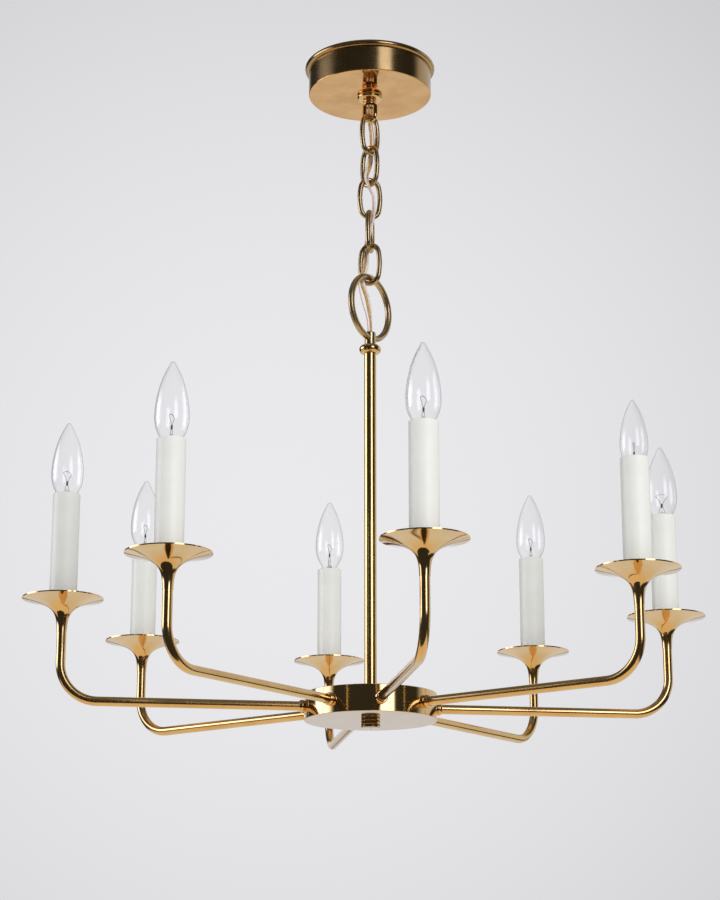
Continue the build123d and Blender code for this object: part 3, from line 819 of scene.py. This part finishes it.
def joined(*meshes):
    """Vertices and faces of several meshes as one."""
    vertices, faces = [], []
    for more_vertices, more_faces in meshes:
        first = len(vertices)
        vertices += more_vertices
        faces += [tuple(first + k for k in face) for face in more_faces]
    return vertices, faces


def bead_outline():
    """Spindle outline of the bead, with a hair-fine bore."""
    turns = [math.pi * (i / BEAD_STEPS - 0.5) for i in range(BEAD_STEPS + 1)]
    return [(BEAD_BORE + BEAD_RADIUS * math.cos(t), BEAD_MIDDLE + BEAD_HALF * math.sin(t)) for t in turns]


def lead_wires():
    """Two mirrored lead wires with the bead that holds them."""
    right = smooth_line(LEAD_ROUTE, LEAD_STEPS)
    left = [Vector((-p.x, p.y, p.z)) for p in right]
    wires = [round_wire(line, LEAD_RADIUS, LEAD_SIDES) for line in (right, left)]
    return joined(*wires, turned_mesh(bead_outline(), BEAD_SEGMENTS))


def filament_coil():
    """Arched helix between the tips of the lead wires."""
    reach, _, level = (value * MM for value in LEAD_ROUTE[-1])
    count = COIL_TURNS * COIL_STEPS
    line = []
    for i in range(count + 1):
        share = 2 * i / count - 1
        turn = 2 * math.pi * i / COIL_STEPS
        arch = level + COIL_RISE * (1 - share**2)
        sway, lift = COIL_RADIUS * math.cos(turn), COIL_RADIUS * math.sin(turn)
        line.append(Vector((reach * share, sway, arch + lift)))
    return round_wire(line, COIL_WIRE, COIL_SIDES)


def glass_stem():
    """Flared glass stem in the bulb's neck."""
    return turned_mesh([(r * MM, z * MM) for r, z in STEM_OUTLINE], STEM_SEGMENTS)


print("mount:", len(filament_coil()[0]), "points in a filament")

# %% Mounts in their bulbs
MOUNT_TURNS = (62, 75, 5, 64, 70, 76, 58, 74)


def set_mount(name, shape, arm, finish):
    """Scale a mount piece to its bulb, turn it and stand it in the bulb's neck."""
    low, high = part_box(f"bulb_{arm}")
    unit = (high.z - low.z) / (BULB_HEIGHT * MM)
    vertices, faces = shape
    piece = new_piece(f"{name}_{arm}", [unit * Vector(p) for p in vertices], faces)
    piece.location = ((low.x + high.x) / 2, (low.y + high.y) / 2, low.z)
    piece.rotation_euler.z = math.radians(MOUNT_TURNS[arm - 1])
    piece.data.materials.append(finish)
    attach(piece, "hanging_frame")
    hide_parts("bulb_mounts")


for arm in ARMS:
    set_mount("bulb_stem", glass_stem(), arm, clear_glass)
    set_mount("bulb_wires", lead_wires(), arm, tungsten)
    set_mount("bulb_filament", filament_coil(), arm, tungsten)
print("mounts:", len(ARMS))

# %% [markdown]
# ## Paint the frame
# Each node of the frame keeps its shape and takes the finish of its real material.

# %% Finishes by material slot
FINISHES = {
    "polished_brass": polished_brass,
    "aged_brass": aged_brass,
    "satin_brass": satin_brass,
    "plated_steel": plated_steel,
    "ivory_sleeve": ivory_sleeve,
    "clear_glass": clear_glass,
    "cord_jacket": copper_strand,
    "ground_wire": bare_copper,
    "socket_plastic": socket_plastic,
}
for name, node in nodes.items():
    slot_name = node.material_slots[0].material.name.split(".")[0]
    node.material_slots[0].material = FINISHES[slot_name]
for name in ("stem_tube", *(f"arm_{arm}" for arm in ARMS)):
    nodes[name].material_slots[0].material = drawn_brass
print("painted", len(nodes), "nodes")

# %% [markdown]
# ## Studio lamps
# Two tall softboxes light the chandelier: one right of the camera, one far to the left. Mirror brass shows
# them as bright lines, so the studio is part of the finish. A camera squeezes the glare of a lamp into
# plain white, so each softbox is hung twice: a dim panel that only mirrors see, with soft edges, and a
# bright one that only lights the matt candles.

# %% Softboxes
RIGHT_TURN = math.radians(28.5)
RIGHT_DISTANCE = 4.0
RIGHT_SIDES = (-1.05, -0.60, 0.60, 1.05)
RIGHT_LEVELS = (-0.50, -0.15, 1.30, 2.60)
RIGHT_GLOW = 2.8
RIGHT_LIGHT = 10.2
LEFT_TURN = math.radians(-90)
LEFT_DISTANCE = 2.5
LEFT_SIDES = (-1.00, -0.65, 0.20, 1.20)
LEFT_LEVELS = (-0.62, -0.35, 0.45, 1.28)
LEFT_GLOW = 2.8
LEFT_LIGHT = 4.8
LAMP_TINT = (0.97, 1.0, 1.22)


def ramp(tree, value, low, high, first, second, kind="SMOOTHSTEP"):
    """Change from a first to a second value as the given one goes from low to high."""
    step = add(tree, "ShaderNodeMapRange", interpolation_type=kind)
    step.inputs["From Min"].default_value = low
    step.inputs["From Max"].default_value = high
    step.inputs["To Min"].default_value = first
    step.inputs["To Max"].default_value = second
    tree.links.new(value, step.inputs["Value"])
    return step.outputs["Result"]


def times(tree, first, second):
    """Product of two values."""
    product = add(tree, "ShaderNodeMath", operation="MULTIPLY")
    tree.links.new(first, product.inputs[0])
    tree.links.new(second, product.inputs[1])
    return product.outputs["Value"]


def along(tree, direction):
    """How far a point lies along a direction."""
    place = add(tree, "ShaderNodeNewGeometry")
    reach = add(tree, "ShaderNodeVectorMath", operation="DOT_PRODUCT")
    reach.inputs[1].default_value = direction
    tree.links.new(place.outputs["Position"], reach.inputs[0])
    return reach.outputs["Value"]


def plateau(tree, value, marks):
    """0 to 1 between the first two marks and back to 0 between the last two."""
    rise = ramp(tree, value, marks[0], marks[1], 0.0, 1.0)
    return times(tree, rise, ramp(tree, value, marks[2], marks[3], 1.0, 0.0))


def soften(light, turn, sides, levels):
    """Fade a softbox out towards its sides, its foot and its top."""
    light.use_nodes = True
    tree = light.node_tree
    tree.nodes.clear()
    sideways = plateau(tree, along(tree, (math.cos(turn), math.sin(turn), 0)), sides)
    upwards = plateau(tree, along(tree, (0, 0, 1)), levels)
    glow = add(tree, "ShaderNodeEmission")
    surface = add(tree, "ShaderNodeOutputLight")
    tree.links.new(times(tree, sideways, upwards), glow.inputs["Strength"])
    tree.links.new(glow.outputs["Emission"], surface.inputs["Surface"])


def hang_panel(name, turn, distance, sides, levels, glow):
    """Upright panel of light at an angle from the camera's side, facing the chandelier's axis."""
    light = bpy.data.lights.new(name, "AREA")
    light.shape = "RECTANGLE"
    light.size = 2 * max(abs(side) for side in sides)
    light.size_y = levels[-1] - levels[0]
    light.energy = math.pi * glow * light.size * light.size_y
    soften(light, turn, sides, levels)
    lamp = bpy.data.objects.new(name, light)
    middle = (levels[0] + levels[-1]) / 2
    lamp.location = (distance * math.sin(turn), -distance * math.cos(turn), middle)
    lamp.rotation_euler = (math.pi / 2, 0, turn)
    lamp.visible_camera = False
    bpy.context.collection.objects.link(lamp)
    return lamp


def hang_softbox(name, place, glow, light):
    """A dim panel for mirrors and a bright one for matt surfaces, in one place."""
    mirrored = hang_panel(f"{name}_mirrored", *place, glow)
    mirrored.data.color = LAMP_TINT
    mirrored.visible_diffuse = False
    matt = hang_panel(f"{name}_matt", *place, light)
    matt.visible_glossy = False
    matt.visible_transmission = False
    print(name, round(matt.data.energy), "W on matt surfaces")


right_place = (RIGHT_TURN, RIGHT_DISTANCE, RIGHT_SIDES, RIGHT_LEVELS)
left_place = (LEFT_TURN, LEFT_DISTANCE, LEFT_SIDES, LEFT_LEVELS)
hang_softbox("softbox_right", right_place, RIGHT_GLOW, RIGHT_LIGHT)
hang_softbox("softbox_left", left_place, LEFT_GLOW, LEFT_LIGHT)

# %% [markdown]
# ## What the brass mirrors
# A plain pale floor lies far below. With only that and a pale backdrop round it, polished brass would look
# flat. So three more things stand in the studio, which only reflections show: a wide strip of warm paper on
# the floor, a dark cloth spread before the camera, and dark drapes all round that are open towards the
# backdrop. The cloth makes the dark tongue in the throat of each trumpet, and the drapes make the dark
# lines along the tubes.

# %% Floor and paper
FLOOR_LEVEL = -3.2
PAPER_LIFT = 0.02
FLOOR_HALF = 14.0
PAPER_AXIS = (0.40, 0.92, 0.0)
PAPER_ACROSS = (0.92, -0.40, 0.0)
PAPER_EDGES = (-9.0, -7.0, 3.2, 4.6)
PALE_BEYOND = (0.4, 1.6)
PAPER_WARM = (0.76, 0.63, 0.48, 1)
PAPER_PALE = (0.70, 0.69, 0.67, 1)
FLOOR_GLOW = (0.62, 0.62, 0.64, 1)
PAPER_GAP = (11.4, 11.7, 13.0, 13.3)
DARK_ROOM = (0.03, 0.03, 0.03, 1)


def color_of(tree, value):
    """A plain colour as a node output."""
    node = add(tree, "ShaderNodeRGB")
    node.outputs["Color"].default_value = value
    return node.outputs["Color"]


def glowing(name):
    """A material that only glows: material, tree, glow and surface nodes."""
    material = bpy.data.materials.new(name)
    material.cycles.emission_sampling = "NONE"
    material.use_nodes = True
    tree = material.node_tree
    tree.nodes.clear()
    glow = add(tree, "ShaderNodeEmission")
    surface = add(tree, "ShaderNodeOutputMaterial")
    tree.links.new(glow.outputs["Emission"], surface.inputs["Surface"])
    return material, tree, glow, surface


def plain_glow(name, value):
    """A material that glows in one colour."""
    material, tree, glow, surface = glowing(name)
    glow.inputs["Color"].default_value = value
    return material


def make_paper_paint():
    """A strip of paper, warm under the chandelier and pale behind it, on a dark ground."""
    material, tree, glow, surface = glowing("paper_paint")
    back = ramp(tree, along(tree, PAPER_AXIS), *PALE_BEYOND, 0.0, 1.0)
    paper = mix_colors(tree, back, color_of(tree, PAPER_WARM), color_of(tree, PAPER_PALE))
    strip = plateau(tree, along(tree, PAPER_ACROSS), PAPER_EDGES)
    mirrored = mix_colors(tree, strip, color_of(tree, DARK_ROOM), paper)
    gap = plateau(tree, along(tree, (0, 1, 0)), PAPER_GAP)
    mirrored = mix_colors(tree, gap, mirrored, color_of(tree, DARK_ROOM))
    tree.links.new(mirrored, glow.inputs["Color"])
    return material


def only_mirrored(piece):
    """Leave a stage piece to reflections alone."""
    piece.visible_camera = False
    piece.visible_diffuse = False
    piece.visible_transmission = False
    piece.visible_shadow = False


floor_sides = ((-1, -1), (1, -1), (1, 1), (-1, 1))
floor_corners = [(x * FLOOR_HALF, y * FLOOR_HALF, FLOOR_LEVEL) for x, y in floor_sides]
floor = new_piece("studio_floor", floor_corners, [(0, 1, 2, 3)])
floor.data.materials.append(plain_glow("floor_paint", FLOOR_GLOW))
paper_corners = [(x, y, z + PAPER_LIFT) for x, y, z in floor_corners]
paper = new_piece("warm_paper", paper_corners, [(0, 1, 2, 3)])
paper.data.materials.append(make_paper_paint())
only_mirrored(paper)
print("floor at", FLOOR_LEVEL, "m")

# %% Dark cloth
CLOTH_LEVEL = -0.885
CLOTH_OUTLINE = ((-0.75, -0.12), (-2.70, -1.20), (-2.60, -2.90), (1.00, -2.90), (0.30, -0.414))

cloth_points = [(x, y, CLOTH_LEVEL) for x, y in CLOTH_OUTLINE]
cloth_faces = [tuple(range(len(CLOTH_OUTLINE)))]
cloth = new_piece("dark_cloth", cloth_points, cloth_faces)
cloth.data.materials.append(plain_glow("cloth_paint", DARK_ROOM))
only_mirrored(cloth)
print("cloth at", CLOTH_LEVEL, "m")

# %% Drapes
DRAPE_HALF = 30.0
PALE_SIDE = (0.45, 0.87, -0.20)
PALE_FROM, PALE_TO = 0.33, 0.62
CEILING = (0.13, 0.13, 0.135, 1)
CEILING_FROM, CEILING_TO = 0.5, 0.85


def toward(tree, place, direction, low, high, kind="SMOOTHSTEP"):
    """0 to 1 as a bearing comes nearer to the given direction."""
    unit = add(tree, "ShaderNodeVectorMath", operation="NORMALIZE")
    tree.links.new(place, unit.inputs[0])
    aim = add(tree, "ShaderNodeVectorMath", operation="DOT_PRODUCT")
    aim.inputs[1].default_value = direction
    tree.links.new(unit.outputs["Vector"], aim.inputs[0])
    return ramp(tree, aim.outputs["Value"], low, high, 0.0, 1.0, kind)


def make_drape_paint():
    """Dark cloth all round that thins out to nothing on the open side."""
    material, tree, glow, surface = glowing("drape_paint")
    place = add(tree, "ShaderNodeNewGeometry").outputs["Position"]
    overhead = toward(tree, place, (0, 0, 1), CEILING_FROM, CEILING_TO)
    opening = toward(tree, place, PALE_SIDE, PALE_FROM, PALE_TO)
    cloth_tone = mix_colors(tree, overhead, color_of(tree, DARK_ROOM), color_of(tree, CEILING))
    tree.links.new(cloth_tone, glow.inputs["Color"])
    clear = add(tree, "ShaderNodeBsdfTransparent")
    cut = add(tree, "ShaderNodeMixShader")
    tree.links.new(opening, cut.inputs["Fac"])
    tree.links.new(glow.outputs["Emission"], cut.inputs[1])
    tree.links.new(clear.outputs["BSDF"], cut.inputs[2])
    tree.links.new(cut.outputs["Shader"], surface.inputs["Surface"])
    return material


drape_levels = (-DRAPE_HALF, DRAPE_HALF)
drape_corners = [(x * DRAPE_HALF, y * DRAPE_HALF, z) for z in drape_levels for x, y in floor_sides]
drape_faces = [(3, 2, 1, 0), (4, 5, 6, 7)]
drape_faces += [(side, (side + 1) % 4, (side + 1) % 4 + 4, side + 4) for side in range(4)]
drape = new_piece("dark_drapes", drape_corners, drape_faces)
drape.data.materials.append(make_drape_paint())
only_mirrored(drape)
print("drapes", 2 * DRAPE_HALF, "m across")

# %% [markdown]
# ## Backdrop
# The backdrop is the world itself: pale, and a little brighter behind the middle of the picture. The eye,
# the brass and the glass all see it. Matt surfaces get an even fill light instead, so that the shaded side
# of the candles stays soft.

# %% World
BACKDROP_CENTRE = (0.82, 0.82, 0.84, 1)
BACKDROP_EDGE = (0.62, 0.62, 0.64, 1)
BACKDROP_MIDDLE = (-0.037, -0.028, -1.0)
VIEW_EDGE = 0.955
FILL = (0.28, 0.28, 0.275, 1)


def make_world():
    """Pale backdrop for the eye, in mirrors and through glass; an even fill light for the rest."""
    world = bpy.data.worlds.new("studio_world")
    world.use_nodes = True
    tree = world.node_tree
    tree.nodes.clear()
    middle = camera.rotation_euler.to_matrix() @ Vector(BACKDROP_MIDDLE).normalized()
    place = add(tree, "ShaderNodeTexCoord").outputs["Generated"]
    near_middle = toward(tree, place, middle, VIEW_EDGE, 1.0, "LINEAR")
    backdrop = mix_colors(tree, near_middle, color_of(tree, BACKDROP_EDGE), color_of(tree, BACKDROP_CENTRE))
    path = add(tree, "ShaderNodeLightPath")
    seen = path.outputs["Is Camera Ray"]
    for kind in ("Is Glossy Ray", "Is Transmission Ray"):
        either = add(tree, "ShaderNodeMath", operation="MAXIMUM")
        tree.links.new(seen, either.inputs[0])
        tree.links.new(path.outputs[kind], either.inputs[1])
        seen = either.outputs["Value"]
    final = mix_colors(tree, seen, color_of(tree, FILL), backdrop)
    light = add(tree, "ShaderNodeBackground")
    surface = add(tree, "ShaderNodeOutputWorld")
    tree.links.new(final, light.inputs["Color"])
    tree.links.new(light.outputs["Background"], surface.inputs["Surface"])
    return world


bpy.context.scene.world = make_world()
bpy.context.scene.view_settings.view_transform = "Standard"
print("world: backdrop", BACKDROP_CENTRE[:3])
